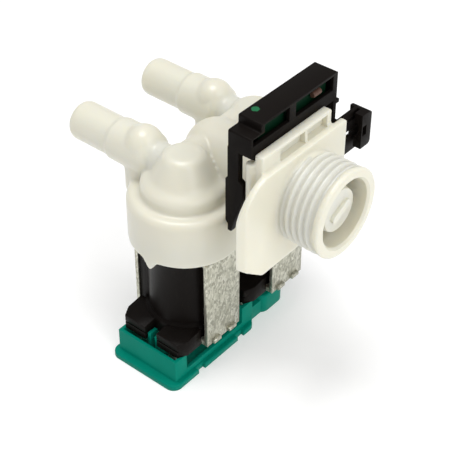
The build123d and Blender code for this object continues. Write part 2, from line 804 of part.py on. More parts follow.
# The valve body, one moulding of white polyamide: a skirt and a dome over each coil, an elbow and a spigot
# at each outlet, the flow chamber that joins them, the threaded inlet, and the plate and wall that hold the
# valve and its sensor. The water runs from the chamber through a port into the ring-shaped gallery of each
# valve, past the lip of the seat when the diaphragm drops, and up through the seat to the spigot.
with BuildPart() as valve_body:
    for side, y in valves:
        with BuildSketch(valve_section(y)):
            with BuildLine():
                FilletPolyline(
                    (0, skirt_bottom),
                    (skirt_radius, skirt_bottom),
                    (skirt_radius, skirt_top),
                    (dome_foot_radius, skirt_top),
                    (dome_foot_radius, skirt_top + dome_foot_height),
                    (dome_neck_radius, skirt_top + dome_neck_height),
                    (dome_top_radius, dome_top),
                    (0, dome_top),
                    radius=(0, skirt_shoulder, *dome_rounds),
                )
                Line((0, dome_top), (0, skirt_bottom))
            make_face()
        revolve(axis=valve_axis(y))
        with BuildSketch(valve_section(y)):
            with BuildLine():
                Polyline(
                    (-elbow_reach, elbow_crown + elbow_radius),
                    (-elbow_reach, elbow_bottom),
                    (-elbow_reach - elbow_radius + elbow_taper, elbow_bottom),
                    (-elbow_reach - elbow_radius, elbow_bottom + elbow_taper),
                    (-elbow_reach - elbow_radius, elbow_crown),
                )
                RadiusArc(
                    (-elbow_reach - elbow_radius, elbow_crown),
                    (-elbow_reach, elbow_crown + elbow_radius),
                    elbow_radius,
                )
            make_face()
        revolve(axis=Axis((-elbow_reach, y, 0), (0, 0, 1)))
        with BuildSketch(valve_section(y)):
            with BuildLine():
                FilletPolyline(
                    (0, outlet_height),
                    (0, outlet_height + spigot_root_radius),
                    (-spigot_root_end, outlet_height + spigot_root_radius),
                    (-spigot_root_end - spigot_step, outlet_height + spigot_radius),
                    (-spigot_end, outlet_height + spigot_radius),
                    (-spigot_end, outlet_height),
                    radius=(0, spigot_step_round, spigot_step_round, spigot_tip),
                )
                Line((-spigot_end, outlet_height), (0, outlet_height))
            make_face()
        revolve(axis=Axis((0, y, outlet_height), (1, 0, 0)))
    with BuildSketch(Plane.XZ):
        with BuildLine():
            FilletPolyline(
                (mount_back, chamber_height),
                (mount_back, chamber_height + chamber_radius),
                (-chamber_end, chamber_height + chamber_radius),
                (-chamber_end, chamber_height),
                radius=(0, chamber_end_round),
            )
            Line((-chamber_end, chamber_height), (mount_back, chamber_height))
        make_face()
    revolve(axis=chamber_axis)
    with BuildSketch(Plane.XZ.offset(-valve_pitch / 2)):
        with Locations((-duct_offset, outlet_height)):
            Circle(duct_radius)
    extrude(amount=valve_pitch)
    with BuildSketch(Plane.YZ.offset(mount_back)) as mount_sketch:
        with BuildLine():
            Polyline(
                (-mount_front_top, mount_top),
                (mount_rear, mount_top),
                (mount_rear, mount_rear_hip),
                (mount_rear_foot, mount_bottom),
                (-mount_front_foot, mount_bottom),
                (mount_front, mount_front_hip),
                (mount_front, mount_front_shoulder),
            )
            SagittaArc(
                (mount_front, mount_front_shoulder),
                (-mount_front_top, mount_top),
                mount_shoulder_bulge,
            )
        make_face()
        fillet(mount_sketch.vertices().group_by(Axis.Y)[0], radius=mount_round)
        fillet(mount_sketch.vertices().group_by(Axis.X)[-1], radius=mount_round)
    extrude(amount=mount_thick)
    with BuildSketch(Plane.XY.offset(mount_bottom)):
        with BuildLine():
            Polyline(
                (strainer_back, mount_front),
                (plate_face, mount_front + mount_end_bevel),
                (plate_face, mount_front - 1),
                (strainer_back, mount_front - 1),
                close=True,
            )
        make_face()
    extrude(amount=mount_top - mount_bottom, mode=Mode.SUBTRACT)
    with BuildSketch(Plane.YZ.offset(wall_face)):
        with Locations(((wall_front + wall_rear) / 2, (wall_top + wall_bottom) / 2)):
            RectangleRounded(wall_rear - wall_front, wall_top - wall_bottom, wall_corner)
    extrude(amount=mount_back - wall_face)
    with BuildSketch(Plane.YZ.offset(mount_back - pocket_depth)):
        pocket_top = wall_top - pocket_lintel
        for pocket_start, pocket_stop in (
            (pocket_front, pocket_rib - pocket_rib_width / 2),
            (pocket_rib + pocket_rib_width / 2, pocket_rear),
        ):
            with Locations(((pocket_start + pocket_stop) / 2, (pocket_top + mount_top) / 2)):
                Rectangle(pocket_stop - pocket_start, pocket_top - mount_top)
    extrude(amount=pocket_depth, mode=Mode.SUBTRACT)
    with BuildSketch(Plane.XY.offset(column_bottom)):
        with Locations((wall_face - column_radius + column_inset, wall_front + column_rear)):
            Circle(column_radius)
            with Locations((column_radius / 2, 0)):
                Rectangle(column_radius, 2 * column_radius)
    extrude(amount=column_top - column_bottom)
    with BuildSketch(Plane.YZ.offset(plate_face)):
        with Locations((0, chamber_height)):
            Circle(inlet_radius)
    extrude(amount=inlet_length)
    chamfer(valve_body.faces().sort_by(Axis.X)[-1].edges(), length=inlet_chamfer)
    with BuildSketch(Plane.XZ.offset(skirt_radius - valves[0][1] - skirt_wall)):
        with BuildLine():
            FilletPolyline(
                (tab_offset - tab_width / 2, skirt_bottom + tab_root),
                (tab_offset + tab_width / 2, skirt_bottom + tab_root),
                (tab_offset + tab_width / 2, skirt_bottom),
                (tab_offset, skirt_bottom - tab_height),
                (tab_offset - tab_width / 2, skirt_bottom),
                radius=(0, 0, tab_round, 0, 0),
                close=True,
            )
        make_face()
    extrude(amount=skirt_wall - tab_inset)
    with BuildSketch(Plane.XZ):
        with BuildLine():
            Polyline(
                (inlet_mouth, chamber_height),
                (inlet_mouth, chamber_height + inlet_bore),
                (strainer_back, chamber_height + inlet_bore),
                (strainer_back, chamber_height + chamber_bore),
                (-chamber_end + chamber_end_wall + chamber_bore_round, chamber_height + chamber_bore),
                (-chamber_end + chamber_end_wall, chamber_height + chamber_bore - chamber_bore_round),
                (-chamber_end + chamber_end_wall, chamber_height),
                close=True,
            )
        make_face()
    revolve(axis=chamber_axis, mode=Mode.SUBTRACT)
    for side, y in valves:
        with BuildSketch(valve_section(y)):
            with BuildLine():
                Polyline(
                    (0, skirt_bottom),
                    (wall_radius, skirt_bottom),
                    (wall_radius, ledge),
                    (gallery_radius, ledge),
                    (gallery_neck_radius, skirt_top),
                    (gallery_top_radius, gallery_top),
                    (seat_bore + seat_wall, gallery_top),
                    (seat_bore + seat_wall, seat_lip),
                    (0, seat_lip),
                    close=True,
                )
            make_face()
        revolve(axis=valve_axis(y), mode=Mode.SUBTRACT)
        with BuildSketch(Plane.XY.offset(seat_lip)):
            with Locations((0, y)):
                Circle(seat_bore)
        extrude(amount=outlet_height + spigot_bore + seat_headroom - seat_lip, mode=Mode.SUBTRACT)
        with BuildSketch(Plane.YZ.offset(-spigot_end)):
            with Locations((y, outlet_height)):
                Circle(spigot_bore)
        extrude(amount=spigot_end, mode=Mode.SUBTRACT)
    with BuildSketch(Plane.XZ.offset(-valve_pitch / 2 + seat_bore + seat_wall + seat_gap)):
        with Locations((0, port_height)):
            Circle(port_radius)
    extrude(amount=valve_pitch - 2 * (seat_bore + seat_wall + seat_gap), mode=Mode.SUBTRACT)
valve_body.part.label = "valve_body"
export_step(valve_body.part, "parts/valve_body.step")


# The inlet strainer: a tapered slotted cup with a closed end, and a bar to pull it out by.
strainer_face = strainer_back + strainer_length
strainer_root = strainer_back + strainer_seat_thick
taper = (strainer_root_radius - strainer_tip_radius) / (strainer_face - strainer_root)
with BuildPart() as inlet_strainer:
    with BuildSketch(Plane.XZ):
        with BuildLine():
            Polyline(
                (strainer_back, chamber_height + strainer_root_radius - strainer_wall),
                (strainer_back, chamber_height + strainer_seat_radius),
                (strainer_root, chamber_height + strainer_seat_radius),
                (strainer_root, chamber_height + strainer_root_radius),
                (strainer_face, chamber_height + strainer_tip_radius),
                (strainer_face, chamber_height),
                (strainer_face - strainer_wall, chamber_height),
                (strainer_face - strainer_wall, chamber_height + strainer_tip_radius - strainer_wall),
                (strainer_root, chamber_height + strainer_root_radius - strainer_wall),
                close=True,
            )
        make_face()
    revolve(axis=chamber_axis)
    with BuildSketch(Plane.YZ.offset(strainer_root + strainer_slot_margin)):
        with Locations((0, chamber_height)):
            with PolarLocations(strainer_root_radius - strainer_wall / 2, strainer_slots):
                Rectangle(3 * strainer_root_radius / 2, strainer_slot_width)
        with Locations((0, chamber_height)):
            Circle(strainer_tip_radius - 2 * strainer_wall, mode=Mode.SUBTRACT)
    extrude(
        amount=strainer_face - strainer_root - 2 * strainer_slot_margin - strainer_wall,
        mode=Mode.SUBTRACT,
    )
    with BuildSketch(Plane.YZ.offset(strainer_face)):
        with Locations(Location((0, chamber_height), grip_turn)):
            SlotOverall(grip_length, grip_width)
    extrude(amount=grip_height)
inlet_strainer.part.label = "inlet_strainer"
export_step(inlet_strainer.part, "parts/inlet_strainer.step")


# The mesh that lines the strainer's slots.
with BuildPart() as strainer_mesh:
    mesh_root = chamber_height + strainer_root_radius - strainer_wall - slip_gap
    mesh_tip = chamber_height + strainer_tip_radius - strainer_wall - slip_gap + taper * strainer_wall
    with BuildSketch(Plane.XZ):
        with BuildLine():
            Polyline(
                (strainer_root, mesh_root),
                (strainer_face - 2 * strainer_wall, mesh_tip - 2 * slip_gap),
                (strainer_face - 2 * strainer_wall, mesh_tip - 2 * slip_gap - mesh_thick),
                (strainer_root, mesh_root - mesh_thick),
                close=True,
            )
        make_face()
    revolve(axis=chamber_axis)
strainer_mesh.part.label = "strainer_mesh"
export_step(strainer_mesh.part, "parts/strainer_mesh.step")


# The flow regulator washer, a thick rubber ring in front of the flow meter.
with BuildPart() as regulator_washer:
    with BuildSketch(Plane.YZ.offset(cage_front)):
        with Locations((0, chamber_height)):
            Circle(chamber_bore - seat_gap)
            Circle(washer_bore, mode=Mode.SUBTRACT)
    extrude(amount=washer_thick)
    chamfer(regulator_washer.faces().sort_by(Axis.X)[-1].edges().sort_by(SortBy.RADIUS)[0], length=washer_bevel)
regulator_washer.part.label = "regulator_washer"
export_step(regulator_washer.part, "parts/regulator_washer.step")


# The flow meter's cage: a thin sleeve with a three-armed web and a bearing hub at each end.
with BuildPart() as turbine_cage:
    with BuildSketch(Plane.YZ.offset(cage_front - cage_length)):
        with Locations((0, chamber_height)):
            Circle(chamber_bore - seat_gap)
            Circle(chamber_bore - seat_gap - cage_wall, mode=Mode.SUBTRACT)
    extrude(amount=cage_length)
    for web_start in (cage_front - cage_length, cage_front - cage_web):
        with BuildSketch(Plane.YZ.offset(web_start)):
            with Locations((0, chamber_height)):
                Circle(cage_hub)
                with PolarLocations((chamber_bore - cage_wall) / 2, cage_arms):
                    Rectangle(chamber_bore - cage_wall - slip_gap, cage_arm_width)
                Circle(shaft_radius + slip_gap, mode=Mode.SUBTRACT)
        extrude(amount=cage_web)
turbine_cage.part.label = "turbine_cage"
export_step(turbine_cage.part, "parts/turbine_cage.step")


# The flow meter's shaft, which the rotor turns on.
with BuildPart() as turbine_shaft:
    with BuildSketch(Plane.YZ.offset(cage_front - cage_length)):
        with Locations((0, chamber_height)):
            Circle(shaft_radius)
    extrude(amount=cage_length)
turbine_shaft.part.label = "turbine_shaft"
export_step(turbine_shaft.part, "parts/turbine_shaft.step")


# The rotor: a hub with six helical blades, and two magnets let into its hub for the reed switch above.
rotor_back = rotor_front - rotor_length
with BuildPart() as turbine_rotor:
    with BuildSketch(Plane.YZ.offset(rotor_back)):
        with Locations((0, chamber_height)):
            Circle(rotor_hub)
    extrude(amount=rotor_length)
    blade_reach = rotor_radius - rotor_hub / 2
    for blade in range(rotor_blades):
        blade_angle = blade * 360 / rotor_blades
        for station, turn in ((rotor_back, 0), (rotor_front, rotor_twist)):
            with BuildSketch(Plane.YZ.offset(station)):
                with Locations(Location((0, chamber_height), blade_angle + turn)):
                    with Locations((rotor_radius - blade_reach / 2, 0)):
                        Rectangle(blade_reach, rotor_blade_thick)
        loft()
    with BuildSketch(Plane.YZ.offset(rotor_back)):
        with Locations((0, chamber_height)):
            Circle(shaft_radius + slip_gap)
    extrude(amount=rotor_length, mode=Mode.SUBTRACT)
    with BuildSketch(Plane.YZ.offset(rotor_back)):
        with Locations((0, chamber_height)):
            with PolarLocations(magnet_circle, 2):
                Circle(magnet_radius + slip_gap)
    extrude(amount=magnet_length + slip_gap, mode=Mode.SUBTRACT)
turbine_rotor.part.label = "turbine_rotor"
export_step(turbine_rotor.part, "parts/turbine_rotor.step")

with BuildPart() as rotor_magnets:
    with BuildSketch(Plane.YZ.offset(rotor_back)):
        with Locations((0, chamber_height)):
            with PolarLocations(magnet_circle, 2):
                Circle(magnet_radius)
    extrude(amount=magnet_length)
rotor_magnets.part.label = "rotor_magnets"
export_step(rotor_magnets.part, "parts/rotor_magnets.step")


# The sensor housing: a black open-fronted case that stands against the wall of the body. A hollow tongue
# reaches down to the flow chamber, a flat leg hangs at its front end, and a leg with three arms and a clip
# at its rear end.
sensor_face = wall_face - seat_gap
with BuildPart() as sensor_housing:
    with BuildSketch(Plane.YZ.offset(sensor_back)):
        with BuildLine():
            FilletPolyline(
                (sensor_front, sensor_bottom),
                (sensor_rear, sensor_bottom),
                (sensor_rear, sensor_top),
                (sensor_head_front, sensor_top),
                (sensor_head_front, sensor_step),
                (sensor_front, sensor_step),
                radius=sensor_corner,
                close=True,
            )
        make_face()
    extrude(amount=sensor_face - sensor_back)
    with BuildSketch(Plane.YZ.offset(sensor_back + tongue_inset)):
        with Locations((0, (tongue_bottom + sensor_bottom + sensor_overlap) / 2)):
            Rectangle(2 * tongue_half_width, sensor_bottom + sensor_overlap - tongue_bottom)
    extrude(amount=sensor_face - sensor_back - tongue_inset)
    with BuildSketch(Plane.YZ.offset(sensor_back + sensor_shell)):
        with Locations((
            (sensor_front + sensor_rear) / 2,
            (sensor_bottom + window_low_top) / 2 + sensor_shell / 2,
        )):
            Rectangle(
                sensor_rear - sensor_front - 2 * sensor_shell,
                window_low_top - sensor_bottom - sensor_shell,
            )
        with Locations((
            (sensor_head_front + sensor_rear) / 2,
            (sensor_bottom + sensor_top) / 2,
        )):
            Rectangle(
                sensor_rear - sensor_head_front - 2 * sensor_shell,
                sensor_top - sensor_bottom - 2 * sensor_shell,
            )
    extrude(amount=sensor_face - sensor_back - 2 * sensor_shell, mode=Mode.SUBTRACT)
    with BuildSketch(Plane.YZ.offset(sensor_face - 2 * sensor_shell)):
        with Locations((
            (window_front + window_rear) / 2,
            (window_bottom + sensor_top - window_lintel) / 2,
        )):
            Rectangle(window_rear - window_front, sensor_top - window_lintel - window_bottom)
        with Locations((
            (window_low_front + window_front) / 2,
            (window_bottom + window_low_top) / 2,
        )):
            Rectangle(window_front - window_low_front, window_low_top - window_bottom)
    extrude(amount=2 * sensor_shell, mode=Mode.SUBTRACT)
    with BuildSketch(Plane.YZ.offset(sensor_face - window_bar_depth)):
        with Locations((
            (window_bar_front + window_bar_rear) / 2,
            (window_bottom + sensor_top - window_lintel) / 2,
        )):
            Rectangle(window_bar_rear - window_bar_front, sensor_top - window_lintel - window_bottom)
    extrude(amount=window_bar_depth)
    with BuildSketch(Plane.YZ.offset(sensor_back + tongue_inset + sensor_shell)):
        with Locations((0, (tongue_bottom + sensor_bottom) / 2 + sensor_shell)):
            Rectangle(
                2 * (tongue_half_width - sensor_shell),
                sensor_bottom - tongue_bottom,
            )
    extrude(
        amount=sensor_face - sensor_back - tongue_inset - 2 * sensor_shell,
        mode=Mode.SUBTRACT,
    )
    with BuildSketch(Plane.XZ.offset(-sensor_front - leg_thick)):
        with BuildLine():
            Polyline(
                (leg_back, sensor_bottom + sensor_overlap),
                (leg_back, foot_top),
                (foot_back, foot_top - foot_bevel),
                (foot_back, foot_low + foot_bevel),
                (foot_back + foot_step, foot_low),
                (foot_back + foot_step, foot_pin),
                (foot_back + foot_step + foot_pin_width, foot_pin),
                (foot_back + 2 * foot_pin_width, foot_low),
                (foot_right, foot_hip),
                (foot_right, foot_top - foot_bevel),
                (leg_back + leg_width, foot_top),
                (leg_back + leg_width, sensor_bottom + sensor_overlap),
                close=True,
            )
        make_face()
    extrude(amount=leg_thick)
    with BuildSketch(Plane.XY.offset(rear_leg_bottom)):
        with Locations(((rear_leg_back + sensor_face) / 2, sensor_rear - rear_leg_thick / 2)):
            Rectangle(sensor_face - rear_leg_back, rear_leg_thick)
        with Locations((rear_leg_back + rear_leg_thick / 2, sensor_rear - rear_leg_return / 2)):
            Rectangle(rear_leg_thick, rear_leg_return)
    extrude(amount=sensor_bottom + sensor_overlap - rear_leg_bottom)
    for arm_low, arm_high in arm_levels:
        with BuildSketch(Plane.YZ.offset(arm_back)):
            with Locations(((sensor_rear - rear_leg_thick + arm_reach) / 2, (arm_low + arm_high) / 2)):
                Rectangle(arm_reach - sensor_rear + rear_leg_thick, arm_high - arm_low)
        extrude(amount=arm_thick)
    with BuildSketch(Plane.YZ.offset(arm_back)):
        with Locations((clip_rear - clip_web / 2, (clip_bottom + clip_top) / 2)):
            Rectangle(clip_web, clip_top - clip_bottom)
    extrude(amount=clip_face - arm_back)
    with BuildSketch(Plane.YZ.offset(clip_back)):
        with Locations(((clip_front + clip_rear) / 2, (clip_bottom + clip_top) / 2)):
            Rectangle(clip_rear - clip_front, clip_top - clip_bottom)
        with Locations((clip_front + clip_slot_offset, clip_slot_height_centre)):
            Rectangle(clip_slot_width, clip_slot_height, mode=Mode.SUBTRACT)
    extrude(amount=clip_face - clip_back)
    clip_corners = sensor_housing.edges().filter_by(Axis.X).group_by(Axis.Y)[-1]
    fillet(clip_corners, radius=clip_round)
    with BuildSketch(Plane.YZ.offset(sensor_face - nub_width)):
        with Locations((sensor_rear + nub_reach / 2, sensor_bottom - nub_drop + nub_height / 2)):
            Rectangle(nub_reach, nub_height)
    extrude(amount=nub_width)
sensor_housing.part.label = "sensor_housing"
export_step(sensor_housing.part, "parts/sensor_housing.step")


# The circuit board behind the window, with a series resistor, and the reed switch in the tongue below it.
board_face = sensor_face - board_setback
board_back = board_face - board_thick
board_bottom = sensor_bottom + board_sill
with BuildPart() as circuit_board:
    with BuildSketch(Plane.YZ.offset(board_back)):
        with Locations(((board_front + board_rear) / 2, board_bottom + board_height / 2)):
            Rectangle(board_rear - board_front, board_height)
    extrude(amount=board_thick)
circuit_board.part.label = "circuit_board"
export_step(circuit_board.part, "parts/circuit_board.step")

with BuildPart() as series_resistor:
    with BuildSketch(Plane.XZ.offset(-resistor_place - resistor_length / 2)):
        with Locations((board_face + resistor_radius, board_bottom + resistor_rise)):
            Circle(resistor_radius)
    extrude(amount=resistor_length)
    fillet(series_resistor.edges(), radius=resistor_round)
series_resistor.part.label = "series_resistor"
export_step(series_resistor.part, "parts/series_resistor.step")

reed_x = sensor_back + reed_back + reed_radius
reed_height = sensor_bottom - reed_drop
with BuildPart() as reed_switch:
    with BuildSketch(Plane.XZ.offset(-reed_length / 2)):
        with Locations((reed_x, reed_height)):
            Circle(reed_radius)
    extrude(amount=reed_length)
    fillet(reed_switch.edges(), radius=reed_round)
reed_switch.part.label = "reed_switch"
export_step(reed_switch.part, "parts/reed_switch.step")

lead_top = board_bottom + lead_board_rise
with BuildPart() as reed_leads:
    for turn in (-1, 1):
        lead_y = turn * (reed_length / 2 + lead_reach)
        with BuildLine() as lead_path:
            FilletPolyline(
                (reed_x, turn * reed_length / 2, reed_height),
                (reed_x, lead_y, reed_height),
                (reed_x, lead_y, lead_top),
                (board_back, lead_y, lead_top),
                radius=(lead_round, lead_round),
            )
        with BuildSketch(Plane(origin=lead_path.line @ 0, z_dir=lead_path.line % 0)):
            Circle(lead_radius)
        sweep(path=lead_path.line)
reed_leads.part.label = "reed_leads"
export_step(reed_leads.part, "parts/reed_leads.step")
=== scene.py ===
"""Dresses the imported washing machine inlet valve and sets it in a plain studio."""
import functools
import json
import math

import bpy
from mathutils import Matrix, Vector


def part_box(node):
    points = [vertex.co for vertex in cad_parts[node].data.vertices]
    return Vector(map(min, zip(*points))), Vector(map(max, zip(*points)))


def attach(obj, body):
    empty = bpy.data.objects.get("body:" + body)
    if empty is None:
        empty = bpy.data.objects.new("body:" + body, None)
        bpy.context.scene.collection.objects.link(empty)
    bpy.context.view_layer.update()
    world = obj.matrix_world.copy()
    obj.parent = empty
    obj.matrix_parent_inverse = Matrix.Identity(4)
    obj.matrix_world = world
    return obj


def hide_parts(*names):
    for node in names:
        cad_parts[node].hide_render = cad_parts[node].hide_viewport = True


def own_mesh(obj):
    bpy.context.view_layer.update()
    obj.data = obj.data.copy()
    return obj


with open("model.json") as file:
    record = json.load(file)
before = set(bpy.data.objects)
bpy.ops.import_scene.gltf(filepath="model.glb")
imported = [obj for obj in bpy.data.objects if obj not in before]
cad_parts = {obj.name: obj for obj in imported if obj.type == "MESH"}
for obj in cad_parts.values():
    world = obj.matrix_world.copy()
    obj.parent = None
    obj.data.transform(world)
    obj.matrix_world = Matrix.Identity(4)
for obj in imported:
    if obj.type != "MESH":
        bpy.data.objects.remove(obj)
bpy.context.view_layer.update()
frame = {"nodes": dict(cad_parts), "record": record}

bl_info = {
    "name": "Washing machine inlet valve",
    "version": (1, 0, 0),
    "blender": (4, 5, 0),
    "location": "3D View > Sidebar > Inlet Valve",
    "description": "Models the visible finish of a two-outlet inlet valve around its packed frame",
    "category": "Object",
}

SLOT_OF = {part["node"]: part["material_slot"] for part in frame["record"]["subparts"]}
VALVES = ("front", "rear")
MM = 0.001


def middle(node, axis):
    """The middle of a node's box along one axis, 0 to 2, in millimetres."""
    low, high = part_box(node)
    return (low[axis] + high[axis]) / 2 / MM


# Places that the frame gives, in millimetres
YOKE_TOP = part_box("yoke_front")[1].z / MM
SPIGOT_TIP, INLET_MOUTH = (corner.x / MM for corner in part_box("valve_body"))
VALVE_AXES = tuple(middle(f"guide_tube_{name}", 1) for name in VALVES)
CHAMBER_AXIS = middle("turbine_shaft", 2)


class ValveSizes(bpy.types.PropertyGroup):
    """Sizes of the mouldings, in millimetres."""

    skirt_radius: bpy.props.FloatProperty(
        name="Skirt radius", description="Outside of the skirt over each coil, in mm", default=16.3)
    skirt_bottom: bpy.props.FloatProperty(
        name="Skirt bottom", description="Lower edge of the skirts, in mm", default=YOKE_TOP + 0.6)
    skirt_top: bpy.props.FloatProperty(
        name="Skirt top", description="Shoulder of the skirts, in mm", default=56.0)
    dome_top: bpy.props.FloatProperty(
        name="Dome top", description="Crown of each dome, in mm", default=68.6)
    elbow_radius: bpy.props.FloatProperty(
        name="Elbow radius", description="Outside of the upright elbows, in mm", default=5.75)
    elbow_reach: bpy.props.FloatProperty(
        name="Elbow reach", description="From a dome's axis to its elbow's, in mm", default=14.8)
    chamber_radius: bpy.props.FloatProperty(
        name="Chamber radius", description="Outside of the flow chamber, in mm", default=9.5)
    outlet_height: bpy.props.FloatProperty(
        name="Outlet height", description="Height of the spigots' axes, in mm", default=62.3)
    spigot_radius: bpy.props.FloatProperty(
        name="Spigot radius", description="Outside of the outlet spigots, in mm", default=5.85)
    plate_face: bpy.props.FloatProperty(
        name="Plate face", description="Front of the mounting plate, in mm", default=29.9)
    plate_thickness: bpy.props.FloatProperty(
        name="Plate thickness", description="Thickness of the mounting plate, in mm", default=2.1)
    spigot_bore: bpy.props.FloatProperty(
        name="Spigot bore", description="Radius of the spigots' bores, in mm", default=3.8)
    inlet_bore: bpy.props.FloatProperty(
        name="Inlet bore", description="Radius of the inlet's bore, in mm", default=10.0)
    thread_radius: bpy.props.FloatProperty(
        name="Thread radius", description="Radius over the thread's crests, in mm", default=13.2)
    thread_pitch: bpy.props.FloatProperty(
        name="Thread pitch", description="Distance between crests, in mm", default=2.15)
    thread_depth: bpy.props.FloatProperty(
        name="Thread depth", description="Crest to root, in mm", default=0.5)
    rim_length: bpy.props.FloatProperty(
        name="Rim length", description="Plain rim in front of the thread, in mm", default=1.5)
    voxel: bpy.props.FloatProperty(
        name="Blend grid", description="Grid that the moulding is blended on, in mm", default=0.42)
    blend_passes: bpy.props.IntProperty(
        name="Blend passes", description="Smoothing passes over the blended joints", default=6)


class ValveColours(bpy.types.PropertyGroup):
    """Colours of the finishes, as sRGB hex values."""

    polyamide: bpy.props.StringProperty(
        name="Body", description="Natural polyamide of the body", default="E2E0D2")
    green: bpy.props.StringProperty(
        name="Base", description="Green of the terminal base", default="008471")
    coil_black: bpy.props.StringProperty(
        name="Coils", description="Black of the coils' overmoulding", default="110E0C")
    sensor_black: bpy.props.StringProperty(
        name="Sensor", description="Black of the sensor housing", default="110E0C")
    zinc: bpy.props.StringProperty(
        name="Zinc", description="Mean colour of the galvanised steel", default="B8B7A6")
    floor: bpy.props.StringProperty(
        name="Floor", description="Colour of the studio floor", default="E2E2E2")


class StudioSettings(bpy.types.PropertyGroup):
    """The camera and the lights."""

    camera_place: bpy.props.FloatVectorProperty(
        name="Camera", description="Where the camera stands", default=(0.1876, -0.2216, 0.2711),
        unit="LENGTH", subtype="TRANSLATION")
    azimuth: bpy.props.FloatProperty(
        name="Azimuth", description="Turn of the view about the upright axis",
        default=math.radians(39.92), subtype="ANGLE")
    elevation: bpy.props.FloatProperty(
        name="Elevation", description="Downward tilt of the view",
        default=math.radians(39.29), subtype="ANGLE")
    lens: bpy.props.FloatProperty(
        name="Lens", description="Focal length on a 36 mm sensor", default=102.06, unit="CAMERA")
    key_power: bpy.props.FloatProperty(
        name="Key light", description="Power of the key light", default=3.6, unit="POWER")
    side_power: bpy.props.FloatProperty(
        name="Side light", description="Power of the softbox beside the inlet", default=2.6,
        unit="POWER")
    room: bpy.props.FloatProperty(
        name="Room light", description="Brightness of the even room light", default=0.45)
    table: bpy.props.FloatProperty(
        name="Table light", description="Brightness of the light table from below", default=0.38)


def linear(hex_colour):
    """The linear colour of an sRGB hex value, with full alpha."""
    channels = []
    for start in (0, 2, 4):
        value = int(hex_colour[start:start + 2], 16) / 255
        channels.append(value / 12.92 if value <= 0.04045 else ((value + 0.055) / 1.055) ** 2.4)
    return (*channels, 1.0)


def add(tree, kind, inputs=None, **settings):
    """Adds a node with its settings. An input takes a value, or the socket that feeds it."""
    node = tree.nodes.new(kind)
    for key, value in settings.items():
        setattr(node, key, value)
    for socket, value in (inputs or {}).items():
        if isinstance(value, bpy.types.NodeSocket):
            tree.links.new(value, node.inputs[socket])
        else:
            node.inputs[socket].default_value = value
    return node


def new_finish(name, **surface):
    """A new material. Returns it with its node tree, its shader and the object's coordinates."""
    material = bpy.data.materials.new(name)
    material.use_nodes = True
    tree = material.node_tree
    tree.nodes.clear()
    shader = add(tree, "ShaderNodeBsdfPrincipled")
    for socket, value in surface.items():
        shader.inputs[socket.replace("_", " ")].default_value = value
    add(tree, "ShaderNodeOutputMaterial", {"Surface": shader.outputs[0]})
    place = add(tree, "ShaderNodeTexCoord").outputs["Object"]
    return material, tree, shader, place


def per_mm(size):
    """The scale of a texture whose features are this many millimetres apart."""
    return 1 / (size * MM)


def tint(tree, shader, place, size, detail, first, second):
    """Colours the surface in clouds of two close colours, size millimetres wide."""
    cloud = add(tree, "ShaderNodeTexNoise", {
        "Vector": place, "Scale": per_mm(size), "Detail": detail})
    mix = add(tree, "ShaderNodeMixRGB", {
        "Fac": cloud.outputs["Fac"], "Color1": linear(first), "Color2": linear(second)})
    tree.links.new(mix.outputs[0], shader.inputs["Base Color"])
    return mix


def grain(tree, shader, place, size, detail, gloss, strength, depth):
    """Varies the roughness over a range and raises grains. Size and depth are in millimetres."""
    noise = add(tree, "ShaderNodeTexNoise", {
        "Vector": place, "Scale": per_mm(size), "Detail": detail})
    rough = add(tree, "ShaderNodeMapRange", {
        "Value": noise.outputs["Fac"], "To Min": gloss[0], "To Max": gloss[1]})
    tree.links.new(rough.outputs[0], shader.inputs["Roughness"])
    bump = add(tree, "ShaderNodeBump", {
        "Height": noise.outputs["Fac"], "Strength": strength, "Distance": depth * MM})
    tree.links.new(bump.outputs[0], shader.inputs["Normal"])


def moulded_polyamide():
    """Natural polyamide 6, injection moulded: ivory, semi-gloss, slightly milky in depth."""
    colours = bpy.context.scene.valve_colours
    material, tree, shader, place = new_finish(
        "moulded_polyamide", IOR=1.53, Subsurface_Weight=0.4, Subsurface_Scale=0.005,
        Specular_IOR_Level=0.5)
    shader.inputs["Subsurface Radius"].default_value = (1.0, 0.85, 0.6)
    tint(tree, shader, place, 14, 3.0, colours.polyamide, "DEDAC8")
    grain(tree, shader, place, 1.2, 4.0, (0.29, 0.36), strength=0.02, depth=0.05)
    return material


def green_polyester():
    """Glass-filled PBT, moulded in a fine-grained tool: teal green with a soft gloss."""
    colours = bpy.context.scene.valve_colours
    material, tree, shader, place = new_finish(
        "green_polyester", IOR=1.55, Specular_IOR_Level=0.045)
    tint(tree, shader, place, 6, 4.0, colours.green, "007966")
    grain(tree, shader, place, 0.5, 3.0, (0.3, 0.46), strength=0.12, depth=0.08)
    return material


def coil_overmould():
    """Black glass-filled polyamide over the coils: satin, with flow lines and handling marks."""
    colours = bpy.context.scene.valve_colours
    material, tree, shader, place = new_finish("coil_overmould", IOR=1.53, Specular_IOR_Level=0.05)
    tint(tree, shader, place, 5, 5.0, colours.coil_black, "171311")
    grain(tree, shader, place, 0.7, 5.0, (0.24, 0.44), strength=0.15, depth=0.1)
    return material


